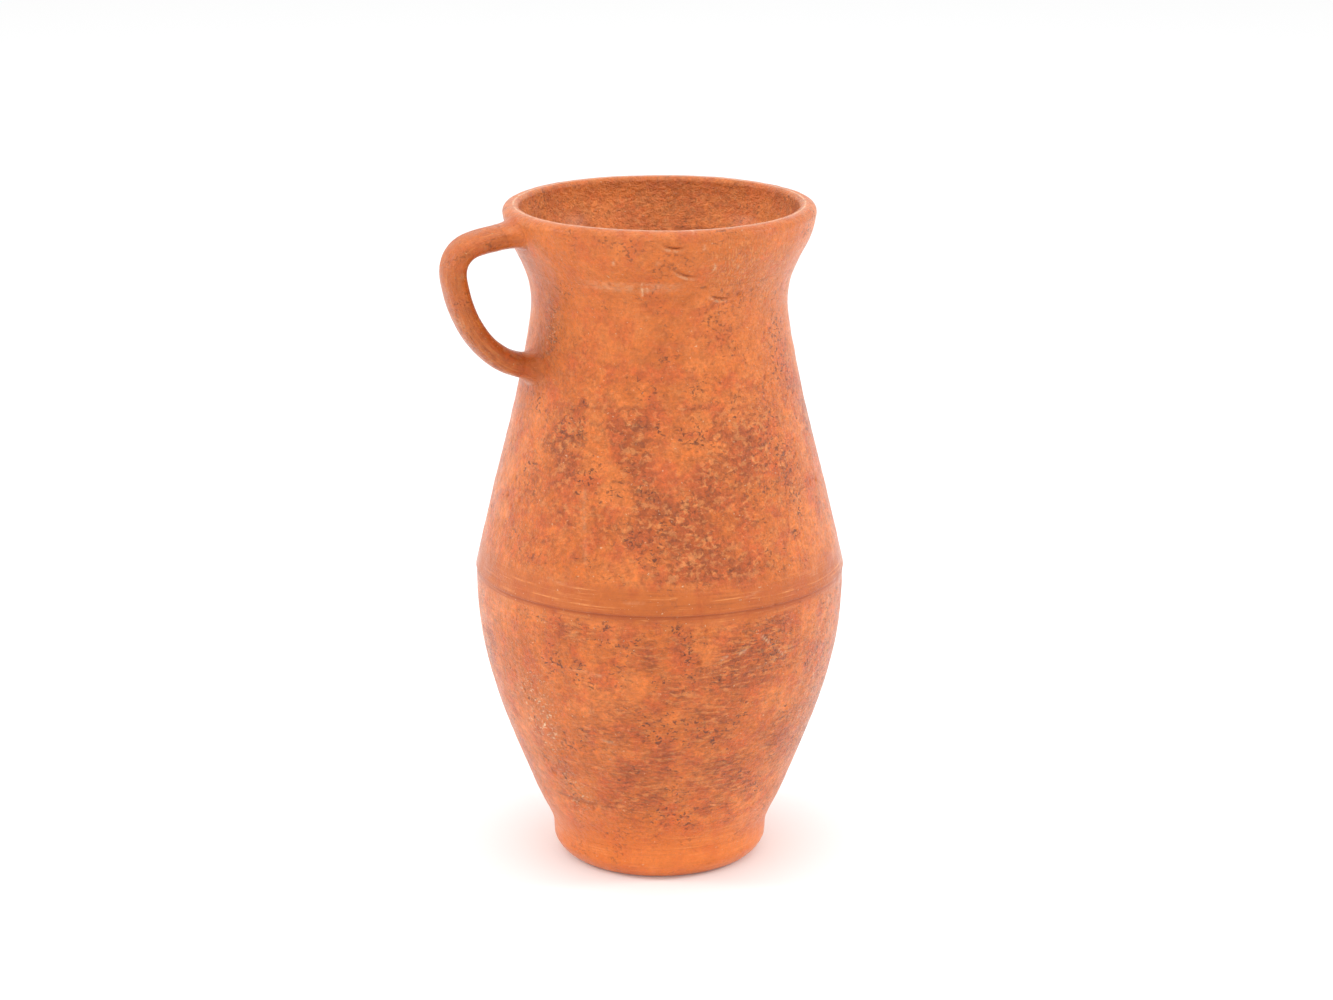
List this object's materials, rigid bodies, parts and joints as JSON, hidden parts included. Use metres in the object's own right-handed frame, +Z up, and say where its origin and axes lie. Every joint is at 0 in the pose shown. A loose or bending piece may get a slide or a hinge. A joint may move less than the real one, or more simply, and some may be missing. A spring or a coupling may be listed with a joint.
{
  "type": "terracotta jug",
  "caption": "Tall terracotta jug with a flared mouth, a soft shoulder ridge at the belly, a turned foot and a strap handle on one side.",
  "frame": {"origin": "centre of the flat underside of the foot, on the vessel's axis", "axes": "+Z up along the vessel's axis, -X towards the handle"},
  "size_m": [0.2151, 0.1936, 0.35],
  "materials": {
    "terracotta": "unglazed terracotta, mottled with brown, pitted, faintly burnished",
    "smoothed_terracotta": "unglazed terracotta, wiped smooth on the wheel",
    "handle_terracotta": "unglazed terracotta, smoothed lengthwise by hand",
    "dark_slip": "dark fired slip, rough"
  },
  "bodies": {
    "root": {"foot": "smoothed_terracotta", "lower_body": "terracotta", "belly_slip_seam": "dark_slip", "belly_luting_coil": "terracotta", "upper_body": "terracotta", "rim_collar": "terracotta", "handle": "handle_terracotta", "upper_handle_weld": "handle_terracotta", "lower_handle_weld": "handle_terracotta"}
  },
  "joints": []
}
